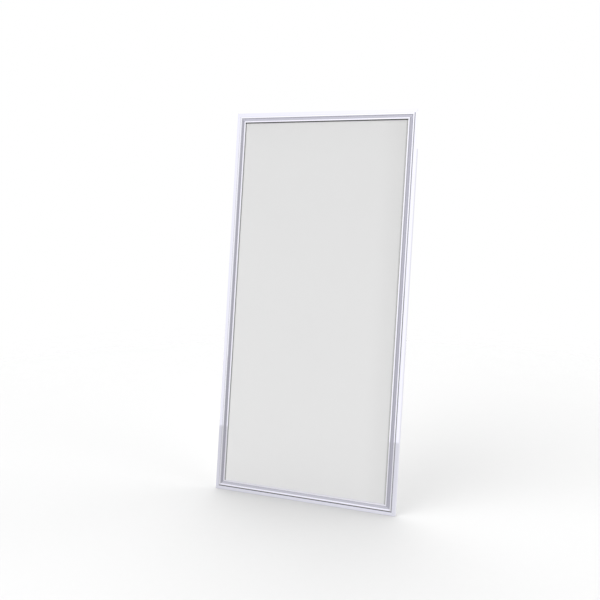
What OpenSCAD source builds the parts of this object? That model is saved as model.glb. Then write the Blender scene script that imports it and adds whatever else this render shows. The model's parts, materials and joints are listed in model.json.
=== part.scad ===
// Edge-lit flat panel luminaire for a 600 x 1200 mm suspended ceiling module.
// It stands upright: +Z runs along the long side, -Y is the light-emitting front and
// +Y the back. The origin is on the back plane, midway between the four suspension nuts.

/* [Panel] */
// Width over the frame
panel_w = 595; // [560:5:620]
// Height over the frame
panel_h = 1195; // [1180:5:1215]
// Depth from the flat flange to the back plane
side_h = 12.5; // [12.5:0.5:16]
// Wall of the frame extrusion
wall = 1.4; // [1.2:0.1:1.6]
// Hairline left at each mitre
mitre_gap = 0.05; // [0.05:0.05:0.2]

/* [Frame face] */
// Flat outer flange that rests on the ceiling grid
flange_w = 10; // [9:0.1:10.5]
// Height of the outer ridge above the flange
ridge_rise = 2.8; // [2:0.1:3.5]
// Width of the slope up to the ridge, and of the slope down from it
ridge_slope = 2.4; // [1.8:0.1:2.6]
// Width of the ridge's top
ridge_w = 3.2; // [2.5:0.1:3.6]
// Height of the cove between ridge and lip above the flange
cove_rise = 0.8; // [0.5:0.1:1.2]
// Width of the cove's floor
cove_w = 6.4; // [6:0.1:6.8]
// Height of the inner lip above the flange
lip_rise = 2; // [1.5:0.1:2.5]
// Width of the lip's top
lip_w = 4; // [3.5:0.1:4.5]
// Slant of the lip's inner wall, down to the diffuser
sight_bevel = 0.6; // [0.4:0.1:1.2]

/* [Optics] */
// How far the diffuser's face lies behind the flange
diffuser_set = 0.6; // [0.4:0.1:1]
// Diffuser thickness
diffuser_t = 1.5; // [1.2:0.1:2]
// Light guide thickness
guide_t = 3; // [2:0.5:4]
// Reflector sheet thickness
reflector_t = 0.5; // [0.3:0.1:0.6]
// Back plate thickness
plate_t = 0.8; // [0.6:0.1:1]
// LEDs on each long edge
led_count = 72; // [40:2:72]

/* [Fixings] */
// Distance between the back plate's screws
screw_pitch = 150; // [120:5:155]
// Distance between suspension nuts across the panel's height
nut_span = 900; // [860:10:920]
// Bore of the suspension nuts, for M4 hooks
nut_bore_r = 2.05; // [2.05:0.05:2.1]
// Height of the grid clips' fingers over the back plane
clip_h = 28; // [26:1:30]
// Reach of a grid clip from its rivet
clip_reach = 36; // [34:1:38]

/* [Driver] */
// Height of the driver tray's mains end on the panel
driver_z = 285; // [250:5:290]
// Length of the driver tray without its ears
driver_l = 230; // [230:1:232]
// Width of the driver tray
driver_w = 84; // [84:1:90]
// Height of the driver tray's walls
driver_h = 28.7; // [28.7:0.1:30]
// Length of the wiring compartment
wiring_l = 78; // [78:1:80]
// Bore of the mains gland
gland_bore_r = 4; // [3.5:0.25:4.5]

/* [Hidden] */
$fn = 48;

half_w = panel_w / 2;
half_h = panel_h / 2;
fit = 0.02; // radial clearance of screws and rivets in their own holes

// Frame section: distances in from the outer edge, then heights along Y
ridge_in = flange_w + ridge_slope;
ridge_out = ridge_in + ridge_w;
cove_in = ridge_out + ridge_slope;
cove_out = cove_in + cove_w;
lip_slope = 1.8;
lip_in = cove_out + lip_slope;
lip_out = lip_in + lip_w;
sight_d = lip_out + sight_bevel;
sight_land = 0.4;
channel_w = 10.8;
web_d = wall + channel_w + wall;
channel_mid = 7;
rebate_d = 1.6;
led_bay_d = 16.6;
guide_d = 16.2;
sheet_d = 16.8;
flange_y = -side_h;
diffuser_y = flange_y + diffuser_set;
guide_y = diffuser_y + diffuser_t;
reflector_y = guide_y + guide_t;
foam_y = reflector_y + reflector_t;
channel_y = flange_y + wall;
back_wall = 1.2;
channel_h = side_h - plate_t - wall - back_wall;
led_bay_y = diffuser_y - 1;
big = 40;

// Screws, nuts and rivets, all on the channel's middle line or on the back plate
screw_r = 1.5;
head_r = 2.8;
head_h = 1.6;
long_screws = [for (i = [-3.5 : 3.5]) i * screw_pitch];
short_screws = [for (i = [-1 : 1]) i * screw_pitch];
corner_reach = 35;
nut_r = 3;
clip_x = 272;
clip_z = 480;
clip_t = 1.2;
clip_w = 14;
clip_riser = 12;
clip_gap = 0.2;
rivet_r = 2.5;

// LED boards
led_board_h = 7;
led_board_t = 1;
tape_t = 0.2;
board_l = panel_h - 40;
led_pitch = 16;
led_y = guide_y + guide_t / 2;
lead_r = 0.8;
lead_y = -4;
lead_x = 4;
lead_z = half_h - guide_d + 1.4; // in the gap above the light guide
lead_end = [half_w - web_d - tape_t - lead_r + 0.1, led_y, board_l / 2];
lead_drop = 13; // length over which a lead comes down from the gap to its board

// Driver, in its own frame: z = 0 at the mains end's outer face
sheet = 1;
tray_x = driver_w / 2;
ear = 15;
lid_gap = 0.3;
pcb_y = 5;
pcb_t = 1.6;
board_y = pcb_y + pcb_t;
pcb_x = 36;
pcb_z = [58, 224];
boss_r = 3;
boss_x = 32;
boss_z = [65, 217];
ear_screw_x = 30;
ear_screw_z = [-8, driver_l + 8];
lid_screw_y = 23.7;
lid_screw_z = [wiring_l + 22, driver_l - 20];
hinge_x = -tray_x - 2.6;
hinge_y = driver_h - 1.3;
knuckle_r = 2.2;
pin_r = 1;
pin_fit = 0.05;
pin_z = [6, 74];
pin_head_h = 1.4;
pin_head_r = 1.8;
tray_knuckles = [[15, 25], [55, 65]];
door_knuckles = [[8, 14.5], [25.5, 54.5], [65.5, 72]];
door_y = driver_h + lid_gap;
gland_y = 13.5;
gland_r = 8;
gland_hex_r = 11.5;
lead_out_y = 12;
lead_out_r = 2.25;
lead_bend = 12;
grommet_hole_r = 4.5;
grommet_r = 6;
grommet_lip = 1;
grommet_z = driver_l + 9 + lead_bend;
knockout_r = 10;
knockout_gap = 0.5;
knockout_at = [14, 40];
earth_at = [-30, 40];
stud_r = 2;
flange_drop = 10; // how far the lid's sides come down over the tray
door_drop = 5;
connector_z = [209, 219];
pole_pitch = 7.5;
block_z = [60, 76];
block_top = board_y + 10;
lever_y = block_top - 2.2;
lever_z = block_z[1] - 4;
lever_l = 10.5;
lever_pin_r = 0.8;
junction_z = [driver_z + driver_l + 13, driver_z + driver_l + 41];

// ---- Shared shapes ----

// The frame's section as a closed outline: x is the distance in from the outer edge
function rail_outline() = [
    [0, 0],
    [0, flange_y],
    [flange_w, flange_y],
    [ridge_in, flange_y - ridge_rise],
    [ridge_out, flange_y - ridge_rise],
    [cove_in, flange_y - cove_rise],
    [cove_out, flange_y - cove_rise],
    [lip_in, flange_y - lip_rise],
    [lip_out, flange_y - lip_rise],
    [sight_d, diffuser_y - sight_land],
    [sight_d, diffuser_y],
    [led_bay_d, diffuser_y],
    [led_bay_d, led_bay_y],
    [web_d, led_bay_y],
    [web_d, -plate_t],
    [rebate_d, -plate_t],
    [rebate_d, 0]
];

// A cylinder along +Y from the given point of the back
module along_y(x, y, z, r, h) {
    translate([x, y, z]) rotate([-90, 0, 0]) cylinder(h = h, r = r);
}

// A straight mitred length of frame along Z, its outer wall on the -X side
module rail(length, half, nuts = []) {
    end = length / 2 - mitre_gap;
    screws = length > panel_w ? long_screws : short_screws;
    corner = length / 2 - corner_reach;
    difference() {
        intersection() {
            translate([-half, 0, -length / 2]) linear_extrude(length) polygon(rail_outline());
            rotate([90, 0, 0]) linear_extrude(2 * big, center = true)
                polygon([[-half, -end], [-half, end], [big - half, end - big], [big - half, big - end]]);
        }
        translate([wall - half, channel_y, -length]) cube([channel_w, channel_h, 2 * length]);
        for (z = concat(screws, [-corner, corner]))
            along_y(channel_mid - half, -3, z, screw_r, 3);
        for (z = nuts)
            along_y(channel_mid - half, -3, z, nut_r + fit, 3);
    }
}

// A pan-head screw with a cross recess; its head stands on y = 0 and its shank goes to -Y
module pan_screw(length) {
    difference() {
        union() {
            along_y(0, -length, 0, screw_r - fit, length);
            along_y(0, 0, 0, head_r, head_h / 2);
            translate([0, head_h / 2, 0]) rotate([-90, 0, 0])
                cylinder(h = head_h / 2, r1 = head_r, r2 = head_r - 0.9);
        }
        for (turn = [0, 90])
            rotate([0, turn, 0]) translate([-1.4, head_h - 0.9, -0.3]) cube([2.8, 1, 0.6]);
    }
}

module corner_key() {
    inner = wall + 0.2;
    arm_w = channel_w - 0.4;
    key_l = 60;
    key_t = channel_h - 0.3;
    translate([-half_w, channel_y + 0.3, half_h]) difference() {
        union() {
            translate([inner, 0, -key_l]) cube([arm_w, key_t, key_l - inner]);
            translate([inner, 0, -inner - arm_w]) cube([key_l - inner, key_t, arm_w]);
        }
        along_y(channel_mid, -1, -corner_reach, screw_r, big);
        along_y(corner_reach, -1, -channel_mid, screw_r, big);
    }
}

// A sheet that fills the frame behind the sight edge, from y up to y + t
module frame_sheet(inset, y, t) {
    translate([inset - half_w, y, inset - half_h])
        cube([panel_w - 2 * inset, t, panel_h - 2 * inset]);
}

module in_driver() {
    translate([0, 0, driver_z]) children();
}

// Round tube swept along a rounded route that never runs along Y
function unit(v) = v / norm(v);
function rounded(a, b, c, cut, steps) =
    let (p = b + unit(a - b) * cut, q = b + unit(c - b) * cut)
    [for (i = [0 : steps]) let (t = i / steps) (1 - t) ^ 2 * p + 2 * t * (1 - t) * b + t ^ 2 * q];
function smooth_route(pts, cut) = concat(
    [pts[0]],
    [for (i = [1 : len(pts) - 2]) each rounded(pts[i - 1], pts[i], pts[i + 1], cut, 4)],
    [pts[len(pts) - 1]]
);
function heading(pts, i) = unit(pts[min(i + 1, len(pts) - 1)] - pts[max(i - 1, 0)]);

module swept_tube(pts, r, sides = 8) {
    rings = len(pts);
    corners = [for (i = [0 : rings - 1]) let (
            t = heading(pts, i),
            u = unit(cross(t, [0, 1, 0])),
            v = cross(u, t)
        ) for (k = [0 : sides - 1]) pts[i] + r * (cos(360 * k / sides) * u + sin(360 * k / sides) * v)];
    skin = [for (i = [0 : rings - 2]) for (k = [0 : sides - 1])
        [i * sides + k, (i + 1) * sides + k, (i + 1) * sides + (k + 1) % sides, i * sides + (k + 1) % sides]];
    ends = [
        [for (k = [0 : sides - 1]) k],
        [for (k = [0 : sides - 1]) rings * sides - 1 - k]
    ];
    polyhedron(points = corners, faces = concat(skin, ends));
}

// ---- Frame ----

module rail_left() {
    color("#dcdcea") rail(panel_h, half_w, [-nut_span / 2, nut_span / 2]);
}

module rail_right() {
    color("#dcdcea") rotate([0, 180, 0]) rail(panel_h, half_w, [-nut_span / 2, nut_span / 2]);
}

module rail_top() {
    color("#dcdcea") rotate([0, 90, 0]) rail(panel_w, half_h);
}

module rail_bottom() {
    color("#dcdcea") rotate([0, -90, 0]) rail(panel_w, half_h);
}

module corner_key_top_left() {
    color("silver") corner_key();
}

module corner_key_top_right() {
    color("silver") mirror([1, 0, 0]) corner_key();
}

module corner_key_bottom_left() {
    color("silver") mirror([0, 0, 1]) corner_key();
}

module corner_key_bottom_right() {
    color("silver") mirror([0, 0, 1]) mirror([1, 0, 0]) corner_key();
}

// Two screws in each corner key, one in each arm
module corner_screws() {
    color("lightgray") for (sx = [-1, 1]) for (sz = [-1, 1]) {
        translate([sx * (half_w - channel_mid), 0, sz * (half_h - corner_reach)]) pan_screw(8);
        translate([sx * (half_w - corner_reach), 0, sz * (half_h - channel_mid)]) pan_screw(8);
    }
}

module back_plate_screws() {
    color("lightgray") for (side = [-1, 1]) {
        for (z = long_screws)
            translate([side * (half_w - channel_mid), 0, z]) pan_screw(6);
        for (x = short_screws)
            translate([x, 0, side * (half_h - channel_mid)]) pan_screw(6);
    }
}

// A shallow pressed rib along Z: raised outside and hollow behind
module pressed_rib(x, low, high) {
    translate([x, 0, low]) linear_extrude(high - low)
        polygon([[-8, 0], [-5.5, 1], [5.5, 1], [8, 0], [7, -plate_t], [-7, -plate_t]]);
}

module rib_hollow(x, low, high) {
    translate([x, 0, low + 1]) linear_extrude(high - low - 2)
        polygon([[-6, -plate_t - 1], [-6, -plate_t], [-4.5, 0.2], [4.5, 0.2], [6, -plate_t], [6, -plate_t - 1]]);
}

module back_plate() {
    edge = rebate_d + 0.2;
    ribs = [[-180, 540], [-90, 540], [0, driver_z - 45], [90, 540], [180, 540]];
    color("whitesmoke") difference() {
        union() {
            frame_sheet(edge, -plate_t, plate_t);
            for (rib = ribs) pressed_rib(rib[0], -540, rib[1]);
        }
        for (rib = ribs) rib_hollow(rib[0], -540, rib[1]);
        for (side = [-1, 1]) {
            for (z = concat(long_screws, [-(half_h - corner_reach), half_h - corner_reach]))
                along_y(side * (half_w - channel_mid), -2, z, screw_r + 0.2, 4);
            for (x = concat(short_screws, [-(half_w - corner_reach), half_w - corner_reach]))
                along_y(x, -2, side * (half_h - channel_mid), screw_r + 0.2, 4);
            for (z = [-1, 1]) {
                along_y(side * (half_w - channel_mid), -2, z * nut_span / 2, nut_r + fit, 4);
                along_y(side * clip_x, -2, z * clip_z, rivet_r, 4);
            }
            for (z = ear_screw_z)
                along_y(side * ear_screw_x, -2, driver_z + z, screw_r, 4);
        }
        along_y(0, -2, driver_z + grommet_z, grommet_hole_r, 4);
    }
}

// M4 rivet nuts for the suspension hooks, set through the plate and the frame's back wall
module suspension_nuts() {
    color("gold") for (sx = [-1, 1]) for (sz = [-1, 1])
        translate([sx * (half_w - channel_mid), 0, sz * nut_span / 2]) difference() {
            union() {
                along_y(0, -8, 0, nut_r, 8);
                along_y(0, 0, 0, 4.5, 1);
            }
            along_y(0, -9, 0, nut_bore_r, 11);
        }
}

// ---- Light engine ----

module diffuser() {
    color("white") frame_sheet(sheet_d, diffuser_y, diffuser_t);
}

module light_guide() {
    color("aliceblue", 0.6) frame_sheet(guide_d, guide_y, guide_t);
}

module reflector_sheet() {
    color("white") frame_sheet(sheet_d, reflector_y, reflector_t);
}

// Reflective tape on the light guide's two short edges
module edge_tapes() {
    color("white") for (side = [-1, 1])
        translate([guide_d - half_w + 1, guide_y + 0.1, side * (half_h - guide_d + tape_t / 2) - tape_t / 2])
            cube([panel_w - 2 * guide_d - 2, guide_t - 0.2, tape_t]);
}

module foam_pad() {
    color("gainsboro") difference() {
        frame_sheet(sheet_d, foam_y, -plate_t - foam_y);
        translate([-11, foam_y - 1, junction_z[0] - 3]) cube([22, big, big + big]);
        for (side = [-1, 1]) {
            for (z = [-1, 1]) along_y(side * clip_x, foam_y - 1, z * clip_z, 6, big);
            for (z = ear_screw_z) along_y(side * ear_screw_x, foam_y - 1, driver_z + z, 3, big);
        }
    }
}

module led_board(side) {
    x = half_w - web_d - tape_t - led_board_t;
    color("ivory") translate([side > 0 ? x : -x - led_board_t, led_y - led_board_h / 2, -board_l / 2])
        cube([led_board_t, led_board_h, board_l]);
}

module led_board_left() {
    led_board(-1);
}

module led_board_right() {
    led_board(1);
}

module led_chips(side) {
    x = half_w - web_d - tape_t - led_board_t - 0.9;
    color("khaki") for (i = [0 : led_count - 1])
        translate([side > 0 ? x : -x - 0.9, led_y - 0.7, (i - (led_count - 1) / 2) * led_pitch - 1.5])
            cube([0.9, 1.4, 3]);
}

module led_chips_left() {
    led_chips(-1);
}

module led_chips_right() {
    led_chips(1);
}

module thermal_tape(side) {
    x = half_w - web_d - tape_t;
    color("lightgray") translate([side > 0 ? x : -x - tape_t, led_y - led_board_h / 2, -board_l / 2])
        cube([tape_t, led_board_h, board_l]);
}

module thermal_tape_left() {
    thermal_tape(-1);
}

module thermal_tape_right() {
    thermal_tape(1);
}

// A lead from the junction along the gap above the light guide to one LED board's end
module led_lead(side) {
    route = [
        [lead_x, lead_y, junction_z[1]],
        [lead_x, lead_y, lead_z],
        [lead_end[0] - lead_drop, lead_y, lead_z],
        [lead_end[0], lead_end[1], lead_z],
        lead_end
    ];
    mirrored = [for (p = smooth_route(route, 2.4)) [side * p[0], p[1], p[2]]];
    color("crimson") swept_tube(mirrored, lead_r);
}

module led_lead_left() {
    led_lead(-1);
}

module led_lead_right() {
    led_lead(1);
}

module lead_junction() {
    color("white") translate([-9, -6, junction_z[0]]) cube([18, 4, junction_z[1] - junction_z[0]]);
}

// ---- Grid clips: they lie along the panel, and swing out over the ceiling grid ----

// Drawn about its rivet with the finger along -Z
module grid_clip_shape() {
    difference() {
        union() {
            along_y(0, clip_gap, 0, clip_w / 2, clip_t);
            translate([-clip_w / 2, clip_gap, -clip_riser - clip_t]) cube([clip_w, clip_t, clip_riser + clip_t]);
            translate([-clip_w / 2, clip_gap, -clip_riser - clip_t]) cube([clip_w, clip_h - clip_gap, clip_t]);
            translate([-clip_w / 2, clip_h - clip_t, -clip_reach])
                cube([clip_w, clip_t, clip_reach - clip_riser]);
            translate([-clip_w / 2, clip_h - 7, -clip_reach]) cube([clip_w, 7, clip_t]);
        }
        along_y(0, -1, 0, rivet_r + pin_fit, 4);
        along_y(0, clip_h - 3, -clip_riser - 10, 2, 4);
    }
}

module grid_clip(sx, sz) {
    color("silver") translate([sx * clip_x, 0, sz * clip_z])
        mirror([0, 0, sz < 0 ? 1 : 0]) grid_clip_shape();
}

module grid_clip_top_left() {
    grid_clip(-1, 1);
}

module grid_clip_top_right() {
    grid_clip(1, 1);
}

module grid_clip_bottom_left() {
    grid_clip(-1, -1);
}

module grid_clip_bottom_right() {
    grid_clip(1, -1);
}

module clip_rivets() {
    top = clip_gap + clip_t + 0.2;
    color("lightgray") for (sx = [-1, 1]) for (sz = [-1, 1])
        translate([sx * clip_x, 0, sz * clip_z]) {
            along_y(0, -plate_t - 1, 0, 4, 1);
            along_y(0, -plate_t, 0, rivet_r, plate_t + top);
            along_y(0, top, 0, 4.8, 0.7);
            translate([0, top + 0.7, 0]) rotate([-90, 0, 0]) cylinder(h = 0.8, r1 = 4.8, r2 = 3);
        }
}

// ---- Driver box on the back ----

// A hinge knuckle along Z between two heights
module knuckle(span) {
    translate([hinge_x, hinge_y, span[0]]) cylinder(h = span[1] - span[0], r = knuckle_r);
}

module hinge_bore() {
    translate([hinge_x, hinge_y, -1]) cylinder(h = driver_l, r = pin_r + pin_fit);
}

module driver_tray() {
    color("gainsboro") in_driver() difference() {
        union() {
            translate([-tray_x, 0, -ear]) cube([driver_w, sheet, driver_l + 2 * ear]);
            for (x = [-tray_x, tray_x - sheet]) translate([x, 0, 0]) cube([sheet, driver_h, driver_l]);
            for (z = [0, driver_l - sheet]) translate([-tray_x, 0, z]) cube([driver_w, driver_h, sheet]);
            for (x = [-boss_x, boss_x]) for (z = boss_z) along_y(x, 0, z, boss_r, pcb_y);
            for (span = tray_knuckles) {
                knuckle(span);
                translate([hinge_x, hinge_y - 2.2, span[0]])
                    cube([-tray_x - hinge_x, 1.6, span[1] - span[0]]);
            }
        }
        hinge_bore();
        for (x = [-boss_x, boss_x]) for (z = boss_z) along_y(x, 1.5, z, screw_r, pcb_y);
        for (x = [-ear_screw_x, ear_screw_x]) for (z = ear_screw_z) along_y(x, -1, z, screw_r + 0.2, 3);
        translate([0, gland_y, -1]) cylinder(h = 3, r = gland_r);
        translate([0, lead_out_y, driver_l - 2]) cylinder(h = 3, r = grommet_hole_r);
        for (z = lid_screw_z) translate([-tray_x - 1, lid_screw_y, z]) rotate([0, 90, 0])
            cylinder(h = driver_w + 2, r = screw_r);
        along_y(earth_at[0], -1, earth_at[1], stud_r, 3);
        for (side = [-1, 1])
            translate([side * tray_x, knockout_at[0], knockout_at[1]]) rotate([0, 90, 0]) difference() {
                cylinder(h = sheet, r = knockout_r + knockout_gap, center = true);
                cylinder(h = 2 * sheet, r = knockout_r, center = true);
            }
    }
}

// Sheet wall between the wiring compartment and the electronics, with a slot for the board
module driver_partition() {
    inside = driver_w - 2 * sheet - 0.4;
    color("gainsboro") in_driver() difference() {
        union() {
            translate([-inside / 2, sheet, wiring_l]) cube([inside, driver_h - sheet, sheet]);
            translate([-inside / 2, sheet, wiring_l]) cube([inside, sheet, 8]);
        }
        translate([-pcb_x - 0.5, pcb_y - 0.3, wiring_l - 1]) cube([2 * pcb_x + 1, pcb_t + 0.6, 3]);
    }
}

module driver_lid() {
    start = wiring_l + sheet + lid_gap;
    outer_x = tray_x + lid_gap + sheet;
    end = driver_l + lid_gap + sheet;
    color("gainsboro") in_driver() difference() {
        translate([-outer_x, driver_h - flange_drop, start])
            cube([2 * outer_x, flange_drop + sheet, end - start]);
        translate([-outer_x + sheet, driver_h - flange_drop - 1, start - 1])
            cube([2 * (outer_x - sheet), flange_drop + 1, end - sheet - start + 1]);
        translate([-outer_x - 1, driver_h - flange_drop - 1, end - sheet - 1])
            cube([2 * outer_x + 2, 3, 3]);
        for (z = lid_screw_z) translate([-outer_x - 1, lid_screw_y, z]) rotate([0, 90, 0])
            cylinder(h = 2 * outer_x + 2, r = screw_r + 0.2);
    }
}

module lid_screws() {
    outer_x = tray_x + lid_gap + sheet;
    color("lightgray") in_driver() for (side = [-1, 1]) for (z = lid_screw_z)
        translate([side * outer_x, lid_screw_y, z]) rotate([0, 0, -side * 90]) pan_screw(5);
}

module tray_screws() {
    color("lightgray") in_driver() for (x = [-ear_screw_x, ear_screw_x]) for (z = ear_screw_z)
        translate([x, sheet, z]) pan_screw(5);
}

module wiring_door() {
    outer_x = tray_x + lid_gap + sheet;
    end = -lid_gap - sheet;
    top = wiring_l + 0.7;
    color("gainsboro") in_driver() difference() {
        union() {
            translate([-tray_x, door_y, end]) cube([tray_x + outer_x, sheet, top - end]);
            translate([outer_x - sheet, door_y - door_drop, end])
                cube([sheet, door_drop + sheet, top - end]);
            translate([-tray_x, door_y - door_drop + 1, end])
                cube([tray_x + outer_x, door_drop - 1 + sheet, sheet]);
            for (span = door_knuckles) {
                knuckle(span);
                translate([hinge_x, door_y, span[0]])
                    cube([-tray_x - hinge_x + 1, sheet, span[1] - span[0]]);
            }
        }
        hinge_bore();
    }
}

module hinge_pin() {
    color("silver") in_driver() translate([hinge_x, hinge_y, 0]) {
        translate([0, 0, pin_z[0]]) cylinder(h = pin_z[1] - pin_z[0], r = pin_r);
        for (z = [pin_z[0], pin_z[1] - pin_head_h]) translate([0, 0, z]) cylinder(h = pin_head_h, r = pin_head_r);
    }
}

module insulation_sheet() {
    color("khaki") in_driver() difference() {
        translate([1 - pcb_x, sheet, wiring_l + 9]) cube([2 * pcb_x - 2, 0.4, driver_l - wiring_l - 13]);
        for (x = [-boss_x, boss_x]) along_y(x, 0, boss_z[1], boss_r + 0.3, 3);
    }
}

module driver_pcb() {
    color("darkgreen") in_driver() difference() {
        translate([-pcb_x, pcb_y, pcb_z[0]]) cube([2 * pcb_x, pcb_t, pcb_z[1] - pcb_z[0]]);
        for (x = [-boss_x, boss_x]) for (z = boss_z) along_y(x, pcb_y - 1, z, screw_r + 0.1, 4);
    }
}

module pcb_screws() {
    color("lightgray") in_driver() for (x = [-boss_x, boss_x]) for (z = boss_z)
        translate([x, board_y, z]) pan_screw(4.8);
}

// Three poles, each with a wire entry towards the gland and a bay for its lever
module terminal_block() {
    block_w = 3 * pole_pitch + 1.5;
    depth = block_z[1] - block_z[0];
    color("whitesmoke") in_driver() {
        difference() {
            translate([-block_w / 2, board_y, block_z[0]]) cube([block_w, block_top - board_y, depth]);
            for (pole = [-1, 0, 1]) translate([pole * pole_pitch, 0, 0]) {
                translate([-3.3, lever_y - 2.3, block_z[0] + 1.5]) cube([6.6, 8, depth - 1.5 + 1]);
                translate([-3.3, block_top - 2.2, block_z[0] - 1]) cube([6.6, 8, depth]);
                translate([0, board_y + 3, block_z[0] - 1]) cylinder(h = 10, r = 1.6);
            }
        }
        translate([1 - block_w / 2, lever_y, lever_z]) rotate([0, 90, 0])
            cylinder(h = block_w - 2, r = lever_pin_r);
    }
}

module terminal_lever(pole) {
    color("darkorange") in_driver() translate([pole * pole_pitch, lever_y, lever_z]) difference() {
        union() {
            translate([-3, 0, 0]) rotate([0, 90, 0]) cylinder(h = 6, r = 1.9);
            translate([-3, 0.4, -lever_l]) cube([6, 1.5, lever_l]);
        }
        translate([-4, 0, 0]) rotate([0, 90, 0]) cylinder(h = 8, r = lever_pin_r + pin_fit);
    }
}

module terminal_lever_line() {
    terminal_lever(-1);
}

module terminal_lever_earth() {
    terminal_lever(0);
}

module terminal_lever_neutral() {
    terminal_lever(1);
}

module suppression_capacitor() {
    color("gold") in_driver() translate([8, board_y, 85]) cube([18, 12.4, 9]);
}

// Ferrite ring with two windings around it
module input_choke() {
    in_driver() translate([-18, board_y + 1, 97]) rotate([-90, 0, 0]) {
        color("dimgray") rotate_extrude() translate([6, 1]) square([5, 8]);
        color("peru") for (start = [25, 205]) rotate([0, 0, start]) rotate_extrude(angle = 130) difference() {
            translate([4.9, 0]) square([7.2, 10]);
            translate([5.9, 0.9]) square([5.2, 8.2]);
        }
    }
}

module bulk_capacitor() {
    color("midnightblue") in_driver() along_y(-22, board_y, 123, 8, 20);
}

module heat_sink() {
    color("silver") in_driver() {
        translate([24, board_y, 110]) cube([3, 17.4, 40]);
        for (y = [10 : 4 : 22]) translate([27, y, 110]) cube([4, 1, 40]);
    }
}

module power_transistor() {
    color("dimgray") in_driver() translate([19.5, board_y + 2.4, 123]) cube([4.5, 15, 10]);
}

module transformer_core() {
    color("dimgray") in_driver() translate([0, board_y + 1, 157]) difference() {
        translate([-14, 0, 0]) cube([28, 18, 12]);
        for (x = [-10.5, 5]) translate([x, 3.4, -1]) cube([5.5, 11.2, 14]);
    }
}

module transformer_winding() {
    color("goldenrod") in_driver() translate([0, board_y + 1, 163]) difference() {
        translate([-10.3, 3.6, -11]) cube([20.6, 10.8, 22]);
        translate([-5, 0, -6]) cube([10, 18, 12]);
    }
}

module output_capacitors() {
    color("midnightblue") in_driver() for (x = [-20, 20]) along_y(x, board_y, 195, 5, 18);
}

module output_connector() {
    color("white") in_driver() translate([-6, board_y, connector_z[0]])
        cube([12, 10.4, connector_z[1] - connector_z[0]]);
}

// From the connector straight out of the box, round a quarter turn and in through the plate
module output_lead() {
    out = driver_l + 9;
    color("whitesmoke") in_driver() {
        translate([0, lead_out_y, connector_z[1]]) cylinder(h = out - connector_z[1], r = lead_out_r);
        translate([0, lead_out_y - lead_bend, out]) rotate([0, 0, 90]) rotate([90, 0, 0])
            rotate_extrude(angle = 90) translate([lead_bend, 0]) circle(r = lead_out_r);
        along_y(0, -2, out + lead_bend, lead_out_r, 2 + lead_out_y - lead_bend);
    }
}

// A rubber grommet along +Z, its groove round a sheet from z = 0 to t
module grommet(t) {
    difference() {
        union() {
            cylinder(h = t, r = grommet_hole_r);
            translate([0, 0, t]) cylinder(h = grommet_lip, r = grommet_r);
            translate([0, 0, -grommet_lip]) cylinder(h = grommet_lip, r = grommet_r);
        }
        translate([0, 0, -5]) cylinder(h = 10, r = lead_out_r);
    }
}

module grommets() {
    color("dimgray") in_driver() {
        translate([0, lead_out_y, driver_l - sheet]) grommet(sheet);
        translate([0, -plate_t, grommet_z]) rotate([-90, 0, 0]) grommet(plate_t);
    }
}

module mains_gland() {
    color("dimgray") in_driver() translate([0, gland_y, 0]) difference() {
        union() {
            translate([0, 0, -6]) cylinder(h = 6, r = gland_hex_r, $fn = 6);
            cylinder(h = 10, r = gland_r - fit);
            translate([0, 0, -15.8]) cylinder(h = 10, r = 7.4);
        }
        translate([0, 0, -17]) cylinder(h = 40, r = gland_bore_r);
    }
}

module gland_dome_nut() {
    color("dimgray") in_driver() translate([0, gland_y, 0]) difference() {
        union() {
            translate([0, 0, -14]) cylinder(h = 8, r = 10.5, $fn = 12);
            translate([0, 0, -20]) cylinder(h = 6, r1 = 7, r2 = 10);
        }
        translate([0, 0, -16]) cylinder(h = 11, r = 7.4 + fit);
        translate([0, 0, -21]) cylinder(h = 10, r = gland_bore_r);
    }
}

module gland_locknut() {
    color("dimgray") in_driver() translate([0, gland_y, sheet]) difference() {
        cylinder(h = 4, r = gland_hex_r, $fn = 6);
        translate([0, 0, -1]) cylinder(h = 6, r = gland_r);
    }
}

// Stud through the tray's base with a nut and a washer
module earth_terminal() {
    color("gold") in_driver() translate([earth_at[0], 0, earth_at[1]]) union() {
        along_y(0, 0.1, 0, stud_r - fit, 9);
        along_y(0, sheet, 0, 4.5, 0.8);
        translate([0, sheet + 0.8, 0]) rotate([-90, 0, 0]) cylinder(h = 3.2, r = 4, $fn = 6);
    }
}

rail_left();
rail_right();
rail_top();
rail_bottom();
corner_key_top_left();
corner_key_top_right();
corner_key_bottom_left();
corner_key_bottom_right();
corner_screws();
back_plate_screws();
back_plate();
foam_pad();
reflector_sheet();
light_guide();
diffuser();
edge_tapes();
led_board_left();
led_board_right();
led_chips_left();
led_chips_right();
thermal_tape_left();
thermal_tape_right();
led_lead_left();
led_lead_right();
lead_junction();
suspension_nuts();
grid_clip_top_left();
grid_clip_top_right();
grid_clip_bottom_left();
grid_clip_bottom_right();
clip_rivets();
driver_tray();
driver_partition();
driver_lid();
lid_screws();
tray_screws();
wiring_door();
hinge_pin();
insulation_sheet();
driver_pcb();
pcb_screws();
terminal_block();
terminal_lever_line();
terminal_lever_earth();
terminal_lever_neutral();
suppression_capacitor();
input_choke();
bulk_capacitor();
heat_sink();
power_transistor();
transformer_core();
transformer_winding();
output_capacitors();
output_connector();
output_lead();
grommets();
mains_gland();
gland_dome_nut();
gland_locknut();
earth_terminal();
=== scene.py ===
"""Looks for the edge-lit panel light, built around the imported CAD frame. Metres, row frame."""

import json
import math

import bmesh
import bpy
from mathutils import Matrix, Vector

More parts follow.
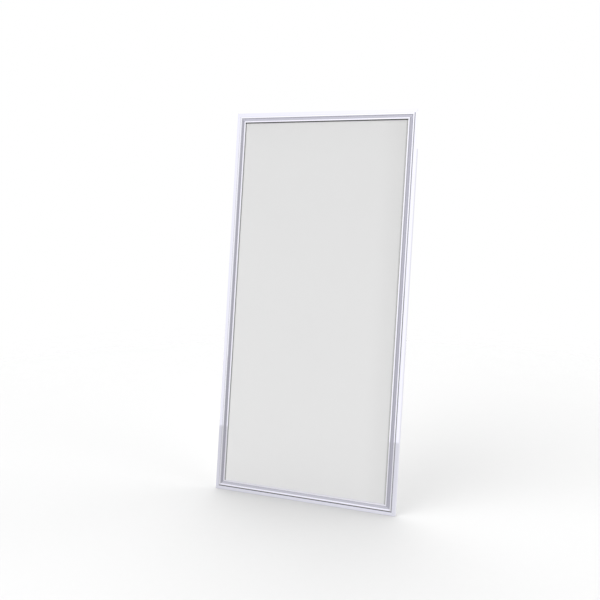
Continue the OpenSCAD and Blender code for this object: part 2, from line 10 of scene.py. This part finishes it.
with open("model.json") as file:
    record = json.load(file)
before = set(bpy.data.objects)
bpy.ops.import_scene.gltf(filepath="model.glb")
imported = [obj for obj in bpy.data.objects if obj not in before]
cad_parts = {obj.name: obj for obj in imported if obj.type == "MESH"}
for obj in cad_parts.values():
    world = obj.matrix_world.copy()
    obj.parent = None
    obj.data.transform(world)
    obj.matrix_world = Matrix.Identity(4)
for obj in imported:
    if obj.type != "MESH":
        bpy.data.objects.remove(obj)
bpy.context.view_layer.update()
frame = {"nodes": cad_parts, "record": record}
scene = bpy.context.scene

HALF_W, HALF_H = 0.2975, 0.5975  # half the frame's width and height
LEAN = math.radians(9.3)  # the panel leans back on the floor by this much
FLOOR_LIFT = 0.0015  # the floor meets the flange this far above the lowest edge
FLOOR_UP = Vector((0, -math.sin(LEAN), math.cos(LEAN)))
FLOOR_AHEAD = Vector((0, math.cos(LEAN), math.sin(LEAN)))
FLOOR_FOOT = Vector((0, 0, -HALF_H)) + FLOOR_LIFT * FLOOR_UP


# ---- Node helpers ----

NOISE_ROUGHNESS = 0.55
WAVE_PHASE = 20  # how far a wave texture's phase runs per unit of its coordinate


class Nodes:
    """Builds one node tree with short calls."""

    def __init__(self, tree):
        self.tree = tree
        self.tree.nodes.clear()

    def add(self, kind, **settings):
        node = self.tree.nodes.new(kind)
        for key, value in settings.items():
            setattr(node, key, value)
        return node

    def link(self, a, b):
        self.tree.links.new(a, b)

    def put(self, socket, value):
        """A number, tuple or another node's output goes into a socket."""
        if isinstance(value, bpy.types.NodeSocket):
            self.link(value, socket)
        elif value is not None:
            socket.default_value = value

    def math(self, operation, a, b=None):
        node = self.add("ShaderNodeMath", operation=operation)
        for socket, value in zip(node.inputs, (a, b)):
            self.put(socket, value)
        return node.outputs[0]

    def remap(self, value, low, high, to_low=0.0, to_high=1.0, smooth=False):
        node = self.add(
            "ShaderNodeMapRange",
            interpolation_type="SMOOTHSTEP" if smooth else "LINEAR",
        )
        for socket, v in zip(node.inputs, (value, low, high, to_low, to_high)):
            self.put(socket, v)
        return node.outputs[0]

    def mix(self, factor, a, b):
        """A blend of two colours, whose sockets on this node are inputs 6 and 7 and output 2."""
        node = self.add("ShaderNodeMix", data_type="RGBA")
        self.put(node.inputs[0], factor)
        for socket, colour in ((node.inputs[6], a), (node.inputs[7], b)):
            self.put(socket, (*colour, 1) if isinstance(colour, tuple) else colour)
        return node.outputs[2]

    def place(self, stretch=(1, 1, 1)):
        """Object coordinates in metres, scaled along each axis."""
        coords = self.add("ShaderNodeTexCoord").outputs["Object"]
        mapping = self.add("ShaderNodeMapping")
        self.link(coords, mapping.inputs["Vector"])
        mapping.inputs["Scale"].default_value = stretch
        return mapping.outputs[0]

    def axes(self):
        """The three object coordinates, apart."""
        coords = self.add("ShaderNodeTexCoord").outputs["Object"]
        split = self.add("ShaderNodeSeparateXYZ")
        self.link(coords, split.inputs[0])
        return split.outputs

    def noise(self, scale, detail, stretch=(1, 1, 1)):
        node = self.add("ShaderNodeTexNoise")
        self.link(self.place(stretch), node.inputs["Vector"])
        node.inputs["Scale"].default_value = scale
        node.inputs["Detail"].default_value = detail
        node.inputs["Roughness"].default_value = NOISE_ROUGHNESS
        return node.outputs[0]

    def cells(self, scale, output="Color", randomness=1.0):
        node = self.add("ShaderNodeTexVoronoi")
        self.link(self.place(), node.inputs["Vector"])
        node.inputs["Scale"].default_value = scale
        node.inputs["Randomness"].default_value = randomness
        return node.outputs[output]

    def wave(self, pitch, axis):
        """A sine from 0 to 1 along an axis, once in each pitch."""
        node = self.add("ShaderNodeTexWave", bands_direction=axis)
        self.link(self.place(), node.inputs["Vector"])
        node.inputs["Scale"].default_value = 2 * math.pi / (WAVE_PHASE * pitch)
        return node.outputs[1]

    def bump(self, height, strength, distance):
        node = self.add("ShaderNodeBump")
        self.put(node.inputs["Height"], height)
        node.inputs["Strength"].default_value = strength
        node.inputs["Distance"].default_value = distance
        return node.outputs[0]


def shader(name, metallic, **constants):
    """A new material: its Nodes, its Principled shader, with constants set on the sockets."""
    material = bpy.data.materials.new(name)
    material.use_nodes = True
    nodes = Nodes(material.node_tree)
    principled = nodes.add("ShaderNodeBsdfPrincipled")
    output = nodes.add("ShaderNodeOutputMaterial")
    nodes.link(principled.outputs[0], output.inputs[0])
    principled.inputs["Metallic"].default_value = metallic
    for socket, value in constants.items():
        principled.inputs[socket.replace("_", " ")].default_value = value
    return material, nodes, principled


def finish_shader(nodes, principled, colour, roughness, normal):
    nodes.put(principled.inputs["Base Color"], colour)
    nodes.put(principled.inputs["Roughness"], roughness)
    nodes.put(principled.inputs["Normal"], normal)


def plain(name, base, alt, rough, scale, bump, metallic=0.0, stretch=(1, 1, 1)):
    """Two shades of noise, uneven roughness and a bump of a second, finer noise."""
    material, n, p = shader(name, metallic)
    broad = n.noise(scale, 4, stretch)
    fine = n.noise(scale * 9, 2, stretch)
    colour = n.mix(n.remap(broad, 0.3, 0.7), base, alt)
    roughness = n.remap(fine, 0.3, 0.7, rough[0], rough[1])
    finish_shader(n, p, colour, roughness, n.bump(fine, bump[0], bump[1]))
    return material


# ---- The frame, the diffuser and the back ----

ALU_A = (0.865, 0.862, 0.965)
ALU_B = (0.880, 0.877, 0.975)
# A painted highlight: the ridge and lip crests are painted in this brighter colour
CREST_HIGHLIGHT = (0.945, 0.940, 1.0)
# The colour of a painted shade: a thin dark line at the top lip's inner edge and at the root of the bottom
# rail's outer slope
PAINTED_SHADE = (0.045, 0.043, 0.060)
ALU_ROUGH = (0.012, 0.022)
COVE_ROUGH = 0.34  # added to the metal's roughness on the cove

# Bands across a rail: start and end, in from the outer edge, and softness, in metres
LONG_RIDGE = (0.0122, 0.0164, 0.0006)
COVE = (0.0168, 0.0256, 0.0014)

SIGHT = 0.0308  # how far in from the outer edge the diffuser starts to show
DIFFUSER = (0.785, 0.785, 0.785)
DIFFUSER_CLOUD = tuple(c * 0.993 for c in DIFFUSER)
BLACK = (0.0, 0.0, 0.0)


def edge_distance(n, along_z):
    """How far in from the panel's outer edge, for a long rail or for a short one."""
    x, _, z = n.axes()
    across = x if along_z else z
    return n.math("SUBTRACT", HALF_W if along_z else HALF_H, n.math("ABSOLUTE", across))


def band(n, value, start, end, soft):
    """1 from start to end, with soft steps inside them, and 0 outside."""
    up = n.remap(value, start, start + soft, smooth=True)
    down = n.remap(value, end - soft, end, 1.0, 0.0, smooth=True)
    return n.math("MULTIPLY", up, down)


def aluminium(rail, along_z, ridge, cove, lip, cove_shade, shade_band=None, shade_share=0.0):
    """Bright anodised extrusion: fine die lines along the rail, a painted highlight on the crests, and a
    satin cove darkened by a painted shade.

    ridge, cove and lip are bands across the rail, and so is the thin band of painted shade: start, end and
    softness in metres.
    """
    material, n, p = shader(f"aluminium_{rail}", 1.0)
    stretch = (1, 1, 0.006) if along_z else (0.006, 1, 1)
    lines = n.noise(1400, 2, stretch)
    cloud = n.noise(9, 3)
    d = edge_distance(n, along_z)
    # The ridge and lip bands, which take the painted highlight
    highlight_band = n.math("ADD", band(n, d, *ridge), band(n, d, *lip))
    satin = band(n, d, *cove)
    colour = n.mix(n.remap(cloud, 0.3, 0.7), ALU_A, ALU_B)
    colour = n.mix(highlight_band, colour, CREST_HIGHLIGHT)
    # The cove's colour is darkened by a painted shade, set differently on each rail
    colour = n.mix(satin, colour, cove_shade)
    # A painted shade in a thin band across the rail, as strong as its share
    if shade_band is not None:
        shade_mask = n.math("MULTIPLY", band(n, d, *shade_band), shade_share)
        colour = n.mix(shade_mask, colour, PAINTED_SHADE)
    rough = n.math("ADD", n.remap(lines, 0.3, 0.7, *ALU_ROUGH), n.math("MULTIPLY", satin, COVE_ROUGH))
    finish_shader(n, p, colour, rough, n.bump(lines, 0.03, 0.00004))
    return material


# Each rail has its own bands and its own painted shade on the cove; the top and bottom rails also get a thin
# line of painted shade
RAILS = {
    "rail_left": aluminium(
        "left",
        True,
        ridge=LONG_RIDGE,
        cove=COVE,
        lip=(0.0262, 0.0308, 0.0005),
        cove_shade=(0.412, 0.408, 0.470),
    ),
    "rail_right": aluminium(
        "right",
        True,
        ridge=LONG_RIDGE,
        cove=(0.0168, 0.0274, 0.0016),
        lip=(0.0270, 0.0308, 0.0005),
        cove_shade=(0.474, 0.469, 0.541),
    ),
    "rail_top": aluminium(
        "top",
        False,
        ridge=(0.0098, 0.0156, 0.0006),
        cove=COVE,
        lip=(0.0262, 0.0293, 0.0005),
        cove_shade=(0.540, 0.535, 0.617),
        # Painted shade along the top lip's inner edge
        shade_band=(0.0288, 0.0320, 0.0005),
        shade_share=0.9,
    ),
    "rail_bottom": aluminium(
        "bottom",
        False,
        ridge=(0.0132, 0.0158, 0.0006),
        cove=COVE,
        lip=(0.0262, 0.0302, 0.0005),
        cove_shade=(0.605, 0.600, 0.680),
        # Painted shade along the root of the outer slope
        shade_band=(0.0096, 0.0137, 0.0004),
        shade_share=0.75,
    ),
}


def opal():
    """Opal sheet with a fine matt face, a little darker where the frame's lip shades it."""
    material, n, p = shader("opal_diffuser", 0.0, IOR=1.49)
    x, _, z = n.axes()
    grain = n.noise(2600, 2)
    cloud = n.noise(3, 2)
    right = n.math("SUBTRACT", HALF_W - SIGHT, x)
    left = n.math("ADD", x, HALF_W - SIGHT)
    top = n.math("SUBTRACT", HALF_H - SIGHT, z)
    # The shade close to each edge, then the broad one further in
    right_edge = n.remap(right, 0, 0.007, 0.5, 1.0, smooth=True)
    left_edge = n.remap(left, 0.0010, 0.0036, 0.4, 1.0, smooth=True)
    shade = n.math("MULTIPLY", right_edge, left_edge)
    shade = n.math("MULTIPLY", shade, n.remap(top, -0.0005, 0.0034, 0.05, 1.0, smooth=True))
    right_broad = n.remap(right, 0, 0.09, 0.94, 1.0, smooth=True)
    top_broad = n.remap(top, 0, 0.12, 0.985, 1.0, smooth=True)
    shade = n.math("MULTIPLY", shade, n.math("MULTIPLY", right_broad, top_broad))
    base = n.mix(n.remap(cloud, 0.3, 0.7), DIFFUSER, DIFFUSER_CLOUD)
    colour = n.mix(shade, BLACK, base)
    roughness = n.remap(grain, 0.3, 0.7, 0.42, 0.52)
    finish_shader(n, p, colour, roughness, n.bump(grain, 0.15, 0.00003))
    return material


def powder_coat(name, base, alt):
    """Satin powder coat: orange peel and a faint uneven tone in broad clouds."""
    material, n, p = shader(name, 0.0, Coat_Weight=0.15, Coat_Roughness=0.3)
    peel = n.noise(700, 2)
    cloud = n.noise(6, 4)
    colour = n.mix(n.remap(cloud, 0.3, 0.7), base, alt)
    finish_shader(n, p, colour, n.remap(peel, 0.3, 0.7, 0.34, 0.46), n.bump(peel, 0.25, 0.00006))
    return material


def galvanised():
    """Zinc spangle in flat crystals, with a slight roll direction."""
    material, n, p = shader("galvanised_steel", 1.0)
    grey = n.remap(n.cells(170), 0.0, 1.0)
    roll = n.noise(600, 2, (1, 1, 0.03))
    colour = n.mix(grey, (0.60, 0.61, 0.63), (0.76, 0.77, 0.79))
    rough = n.math("ADD", n.remap(grey, 0, 1, 0.30, 0.46), n.remap(roll, 0.3, 0.7, -0.03, 0.03))
    finish_shader(n, p, colour, rough, n.bump(roll, 0.08, 0.00005))
    return material


def zinc_plate():
    """Bright zinc with the faint blue and yellow bloom of its passivation."""
    material, n, p = shader("zinc_plated_steel", 1.0)
    bloom = n.noise(260, 3)
    ramp = n.add("ShaderNodeValToRGB")
    ramp.color_ramp.elements[0].color = (0.66, 0.69, 0.76, 1)
    ramp.color_ramp.elements[1].color = (0.78, 0.76, 0.68, 1)
    ramp.color_ramp.elements[0].position, ramp.color_ramp.elements[1].position = 0.3, 0.7
    n.link(bloom, ramp.inputs[0])
    fine = n.noise(3000, 2)
    finish_shader(n, p, ramp.outputs[0], n.remap(fine, 0.3, 0.7, 0.22, 0.34), n.bump(fine, 0.1, 0.00003))
    return material


# ---- The parts inside ----

CHIP_PITCH = 0.016  # from one LED to the next, the first pair being half of it from the middle
PHOSPHOR_HALF = (0.0012, 0.0009)  # from a chip's middle to the phosphor's edge, outside and inside


def cellular_foam():
    material, n, p = shader("foam", 0.0, Sheen_Weight=0.2)
    pores = n.cells(900, "Distance")
    # The pores are painted darker: a painted shade in their hollows
    colour = n.mix(n.remap(pores, 0.0, 0.6), (0.80, 0.80, 0.78), (0.93, 0.93, 0.92))
    finish_shader(n, p, colour, n.remap(pores, 0, 0.6, 0.75, 0.95), n.bump(pores, 0.5, 0.0003))
    return material


def dotted_acrylic():
    """Clear guide with its printed dots, which are what throws the light forward."""
    material, n, p = shader("clear_acrylic", 0.0, IOR=1.49, Transmission_Weight=0.6)
    dots = n.cells(420, "Distance", randomness=0.0)
    dot = n.remap(dots, 0.28, 0.36, 1.0, 0.0)
    colour = n.mix(dot, (0.90, 0.95, 0.97), (0.97, 0.97, 0.96))
    finish_shader(n, p, colour, n.remap(dot, 0, 1, 0.05, 0.6), n.bump(dot, 0.2, 0.00003))
    return material


def circuit_board(name, mask, track, scale):
    """Solder mask over copper tracks, seen as slightly raised lighter lines."""
    material, n, p = shader(name, 0.0, Coat_Weight=0.4, Coat_Roughness=0.15)
    brick = n.add("ShaderNodeTexBrick")
    n.link(n.place(), brick.inputs["Vector"])
    brick.inputs["Scale"].default_value = scale
    brick.inputs["Mortar Size"].default_value = 0.06
    line = brick.outputs["Fac"]
    speck = n.noise(1500, 2)
    colour = n.mix(line, mask, track)
    finish_shader(n, p, colour, n.remap(speck, 0.3, 0.7, 0.3, 0.45), n.bump(line, 0.3, 0.00005))
    return material


def phosphor():
    """White package with yellow phosphor in the middle of each chip's length."""
    material, n, p = shader("led_phosphor", 0.0, Coat_Weight=0.3, Coat_Roughness=0.1)
    z = n.axes()[2]
    middle = CHIP_PITCH / 2
    along = n.math("PINGPONG", z, middle)
    inside = n.remap(along, middle - PHOSPHOR_HALF[0], middle - PHOSPHOR_HALF[1])
    grain = n.noise(4000, 2)
    yellow = n.mix(n.remap(grain, 0.3, 0.7), (0.92, 0.74, 0.16), (0.97, 0.84, 0.30))
    colour = n.mix(inside, (0.90, 0.90, 0.88), yellow)
    finish_shader(n, p, colour, n.remap(grain, 0.3, 0.7, 0.35, 0.5), n.bump(grain, 0.15, 0.00003))
    return material


def wound(name, base, groove_shade, pitch, axis, metallic=0.0):
    """Turns of wire or tape side by side, with a painted shade in the grooves between them."""
    material, n, p = shader(name, metallic, Coat_Weight=0.5, Coat_Roughness=0.12)
    turns = n.wave(pitch, axis)
    tone = n.noise(400, 2)
    # Between the turns the colour darkens to a painted shade
    colour = n.mix(n.remap(turns, 0.05, 0.4), groove_shade, n.mix(tone, base, tuple(c * 0.82 for c in base)))
    finish_shader(n, p, colour, n.remap(turns, 0, 1, 0.45, 0.22), n.bump(turns, 0.6, pitch / 3))
    return material


def fish_paper():
    material, n, p = shader("fish_paper", 0.0)
    fibre = n.noise(500, 5, (1, 1, 0.12))
    colour = n.mix(n.remap(fibre, 0.3, 0.7), (0.66, 0.61, 0.45), (0.82, 0.78, 0.64))
    finish_shader(n, p, colour, n.remap(fibre, 0.3, 0.7, 0.7, 0.9), n.bump(fibre, 0.3, 0.0001))
    return material


def moulded(name, base, rough, texture=0.00008, coat=0.0):
    """Moulded plastic or rubber: spark-eroded grain, slightly cloudy colour."""
    material, n, p = shader(name, 0.0, IOR=1.47, Coat_Weight=coat, Coat_Roughness=0.2)
    grain = n.noise(2200, 3)
    cloud = n.noise(60, 3)
    darker = tuple(c * 0.86 for c in base)
    colour = n.mix(n.remap(cloud, 0.25, 0.75), darker, base)
    finish_shader(n, p, colour, n.remap(grain, 0.3, 0.7, rough[0], rough[1]), n.bump(grain, 0.35, texture))
    return material


FINISHES = {
    "key_zinc": plain(
        "key_zinc",
        (0.56, 0.57, 0.60),
        (0.68, 0.69, 0.71),
        rough=(0.42, 0.58),
        scale=150,
        bump=(0.4, 0.0001),
        metallic=1.0,
    ),
    "zinc_plated_steel": zinc_plate(),
    "bare_aluminium": plain(
        "bare_aluminium",
        (0.70, 0.71, 0.73),
        (0.82, 0.82, 0.83),
        rough=(0.28, 0.4),
        scale=120,
        bump=(0.2, 0.00006),
        metallic=1.0,
        stretch=(0.05, 1, 1),
    ),
    "brass": plain(
        "brass",
        (0.72, 0.52, 0.22),
        (0.86, 0.68, 0.34),
        rough=(0.24, 0.36),
        scale=200,
        bump=(0.15, 0.00005),
        metallic=1.0,
    ),
    "galvanised_steel": galvanised(),
    "white_painted_plate": powder_coat("white_painted_plate", (0.69, 0.69, 0.69), (0.73, 0.73, 0.725)),
    "white_painted_box": powder_coat("white_painted_box", (0.83, 0.83, 0.82), (0.88, 0.88, 0.87)),
    "opal_diffuser": opal(),
    "foam": cellular_foam(),
    "reflector_film": plain(
        "reflector_film",
        (0.93, 0.93, 0.93),
        (0.97, 0.97, 0.97),
        rough=(0.5, 0.65),
        scale=30,
        bump=(0.1, 0.00003),
    ),
    "clear_acrylic": dotted_acrylic(),
    "white_circuit_board": circuit_board("white_circuit_board", (0.88, 0.88, 0.85), (0.95, 0.95, 0.92), 120),
    "led_phosphor": phosphor(),
    "thermal_tape": plain(
        "thermal_tape",
        (0.72, 0.72, 0.75),
        (0.82, 0.82, 0.84),
        rough=(0.6, 0.8),
        scale=200,
        bump=(0.3, 0.00008),
    ),
    "red_lead": moulded("red_lead", (0.55, 0.025, 0.02), (0.32, 0.42), 0.00004),
    "white_plastic": moulded("white_plastic", (0.86, 0.86, 0.83), (0.3, 0.42)),
    "fish_paper": fish_paper(),
    "green_circuit_board": circuit_board("green_circuit_board", (0.012, 0.09, 0.03), (0.03, 0.17, 0.06), 260),
    "orange_plastic": moulded("orange_plastic", (0.85, 0.22, 0.02), (0.28, 0.4), 0.00005, 0.2),
    "yellow_plastic": moulded("yellow_plastic", (0.82, 0.55, 0.05), (0.3, 0.42), 0.00005, 0.2),
    "ferrite": plain(
        "ferrite",
        (0.045, 0.045, 0.05),
        (0.09, 0.09, 0.095),
        rough=(0.55, 0.72),
        scale=800,
        bump=(0.4, 0.0001),
    ),
    "copper_winding": wound("copper_winding", (0.50, 0.19, 0.07), (0.10, 0.03, 0.015), 0.0009, "Y", 0.6),
    "capacitor_sleeve": moulded("capacitor_sleeve", (0.015, 0.02, 0.06), (0.2, 0.3), 0.00003, 0.4),
    "black_plastic": moulded("black_plastic", (0.022, 0.022, 0.024), (0.42, 0.58), 0.0001),
    "winding_tape": wound("winding_tape", (0.80, 0.58, 0.12), (0.55, 0.36, 0.06), 0.004, "Y"),
    "grommet_rubber": moulded("grommet_rubber", (0.02, 0.02, 0.02), (0.6, 0.75), 0.00012),
}


# ---- Dressing the CAD nodes ----

MITRE_RADIUS = 0.00006  # small, so that the rails' mitres stay closed
EDGE_RADIUS = {
    "rail_left": MITRE_RADIUS,
    "rail_right": MITRE_RADIUS,
    "rail_top": MITRE_RADIUS,
    "rail_bottom": MITRE_RADIUS,
    "diffuser": 0.0002,
    "mains_gland": 0.0003,
    "gland_dome_nut": 0.0002,
    "gland_locknut": 0.0003,
    "lead_junction": 0.0006,
    "output_connector": 0.0005,
    "terminal_block": 0.0002,
    "transformer_core": 0.0004,
    "suppression_capacitor": 0.0008,
    "bulk_capacitor": 0.0008,
    "output_capacitors": 0.0006,
    "power_transistor": 0.0003,
}
DEFAULT_RADIUS = 0.00012
WELD_DISTANCE = 1e-6
FLAT_ANGLE = math.radians(0.5)
EDGE_ANGLE = math.radians(24)
UNBEVELLED = ("output_lead", "led_lead_left", "led_lead_right", "led_chips_left", "led_chips_right")


def dress(name, node, slot):
    """Its material, then flat faces made whole and edges slightly rounded."""
    material = RAILS[name] if name in RAILS else FINISHES[slot]
    node.data.materials.clear()
    node.data.materials.append(material)
    if name in UNBEVELLED:
        return
    weld = node.modifiers.new("weld", "WELD")
    weld.merge_threshold = WELD_DISTANCE
    flat = node.modifiers.new("flat", "DECIMATE")
    flat.decimate_type = "DISSOLVE"
    flat.angle_limit = FLAT_ANGLE
    bevel = node.modifiers.new("bevel", "BEVEL")
    bevel.width = EDGE_RADIUS.get(name, DEFAULT_RADIUS)
    bevel.segments = 2
    bevel.limit_method = "ANGLE"
    bevel.angle_limit = EDGE_ANGLE
    bevel.harden_normals = True


for row in frame["record"]["subparts"]:
    dress(row["node"], frame["nodes"][row["node"]], row["material_slot"])


# ---- Floor, light and camera ----

FLOOR_RADIUS = 3.2
FLOOR_FADE = (1.6, 3.1)  # where the disc starts to fade, and where it has gone
FLOOR_A = (0.685, 0.685, 0.685)
FLOOR_B = (0.695, 0.695, 0.695)

# What the metal mirrors: a sharp skyline, slightly tilted, and dimmer or brighter regions
SKYLINE, SKYLINE_TILT = 0.0069, -0.027
SKYLINE_SOFT = 0.001
BELOW, ABOVE = 0.815, 1.08
SKY_RISE = 1.05
UNDER_DIM = 0.66
SIDE_DIM = 0.42
LEFT_DIM = 0.88
BEHIND_DIM = 1.10
CORNER_DIM = 0.5

# What lights the matt surfaces: an even light from below, and soft boxes in the studio,
# each with its azimuth from straight behind the panel towards +X, its elevation and strength
FLOOR_GLOW = 0.6
BOX_EDGE = 0.72
SOFT_BOXES = (
    (90, 10, 0.8),
    (70, 35, 1.5),
    (110, 35, 0.3),
    (-145, 35, 2.7),
    (-35, 35, 1.2),
    (0, 60, 1.6),
    (-60, 60, 0.9),
)

LENS, SENSOR = 53.3, 36
CAMERA_AT = (1.0344, -2.5227, 0.0305)
CAMERA_YAW, CAMERA_PITCH, CAMERA_ROLL = (math.radians(v) for v in (23.26, -0.27, -3.44))


def floor():
    """A pale disc that fades out before it ends."""
    mesh = bpy.data.meshes.new("floor")
    bm = bmesh.new()
    bmesh.ops.create_circle(bm, cap_ends=True, segments=96, radius=FLOOR_RADIUS)
    bm.to_mesh(mesh)
    bm.free()
    disc = bpy.data.objects.new("floor", mesh)
    scene.collection.objects.link(disc)
    right = Vector((1, 0, 0))
    rotation = Matrix((right, FLOOR_AHEAD, FLOOR_UP)).transposed().to_4x4()
    disc.matrix_world = Matrix.Translation(FLOOR_FOOT) @ rotation
    material = bpy.data.materials.new("floor")
    material.use_nodes = True
    n = Nodes(material.node_tree)
    diffuse = n.add("ShaderNodeBsdfDiffuse")
    grain = n.noise(40, 3)
    n.put(diffuse.inputs[0], n.mix(grain, FLOOR_A, FLOOR_B))
    clear = n.add("ShaderNodeBsdfTransparent")
    blend = n.add("ShaderNodeMixShader")
    x, y, _ = n.axes()
    reach = n.math("SQRT", n.math("ADD", n.math("MULTIPLY", x, x), n.math("MULTIPLY", y, y)))
    n.put(blend.inputs[0], n.remap(reach, *FLOOR_FADE, smooth=True))
    n.link(diffuse.outputs[0], blend.inputs[1])
    n.link(clear.outputs[0], blend.inputs[2])
    n.link(blend.outputs[0], n.add("ShaderNodeOutputMaterial").inputs[0])
    mesh.materials.append(material)
    disc.visible_glossy = False


def surroundings():
    """A pale studio. What the metal mirrors and what lights the matt surfaces are set apart."""
    world = bpy.data.worlds.new("studio")
    scene.world = world
    world.use_nodes = True
    n = Nodes(world.node_tree)
    direction = n.add("ShaderNodeTexCoord").outputs["Generated"]

    def toward(axis):
        dot = n.add("ShaderNodeVectorMath", operation="DOT_PRODUCT")
        n.link(direction, dot.inputs[0])
        dot.inputs[1].default_value = Vector(axis).normalized()
        return dot.outputs["Value"]

    def product(values):
        total = values[0]
        for value in values[1:]:
            total = n.math("MULTIPLY", total, value)
        return total

    height = toward(FLOOR_UP)
    skyline = toward(FLOOR_UP + Vector((SKYLINE_TILT, 0, 0)))
    horizon = n.remap(skyline, SKYLINE - SKYLINE_SOFT, SKYLINE + SKYLINE_SOFT, BELOW, ABOVE)
    zenith = n.remap(skyline, SKYLINE, 0.35, 1.0, SKY_RISE)
    # Each region fades in between two cosines of the angle from its own direction
    deep = n.remap(height, -0.25, -0.8, 1.0, UNDER_DIM, smooth=True)
    right = n.remap(toward((1, -0.1, 0)), 0.70, 0.95, 1.0, SIDE_DIM, smooth=True)
    left = n.remap(toward((-1, 0, 0)), 0.30, 0.50, 1.0, LEFT_DIM)
    behind = n.remap(toward((0, 1, 0)), 0.3, 0.75, 1.0, BEHIND_DIM, smooth=True)
    corner = n.remap(toward((-0.83, -0.55, -0.05)), 0.94, 0.99, 1.0, CORNER_DIM, smooth=True)
    mirrored = product([horizon, zenith, deep, right, left, behind, corner])
    lighting = n.remap(height, -0.01, 0.01, FLOOR_GLOW, 0.0)
    for azimuth, elevation, strength in SOFT_BOXES:
        a, e = math.radians(azimuth), math.radians(elevation)
        level = math.cos(a) * FLOOR_AHEAD + math.sin(a) * Vector((1, 0, 0))
        facing = toward(math.cos(e) * level + math.sin(e) * FLOOR_UP)
        glow = n.remap(facing, BOX_EDGE, 1.0, 0.0, strength, smooth=True)
        lighting = n.math("ADD", glow, lighting)
    path = n.add("ShaderNodeLightPath")
    shaders = []
    for strength in (lighting, mirrored, 1.0):
        background = n.add("ShaderNodeBackground")
        background.inputs["Color"].default_value = (1, 1, 1, 1)
        n.put(background.inputs["Strength"], strength)
        shaders.append(background.outputs[0])
    result = shaders[0]
    for ray, other in (("Is Glossy Ray", shaders[1]), ("Is Camera Ray", shaders[2])):
        blend = n.add("ShaderNodeMixShader")
        n.link(path.outputs[ray], blend.inputs[0])
        n.link(result, blend.inputs[1])
        n.link(other, blend.inputs[2])
        result = blend.outputs[0]
    n.link(result, n.add("ShaderNodeOutputWorld").inputs[0])


def camera():
    data = bpy.data.cameras.new("camera")
    data.lens = LENS
    data.sensor_width = SENSOR
    obj = bpy.data.objects.new("camera", data)
    scene.collection.objects.link(obj)
    turn = (
        Matrix.Rotation(CAMERA_YAW, 3, "Z")
        @ Matrix.Rotation(CAMERA_PITCH, 3, "X")
        @ Matrix.Rotation(CAMERA_ROLL, 3, "Y")
    )
    right, ahead, up = (turn @ Vector(v) for v in ((1, 0, 0), (0, 1, 0), (0, 0, 1)))
    facing = Matrix((right, up, -ahead)).transposed().to_4x4()
    obj.matrix_world = Matrix.Translation(CAMERA_AT) @ facing
    scene.camera = obj


floor()
surroundings()
camera()
scene.view_settings.view_transform = "Standard"
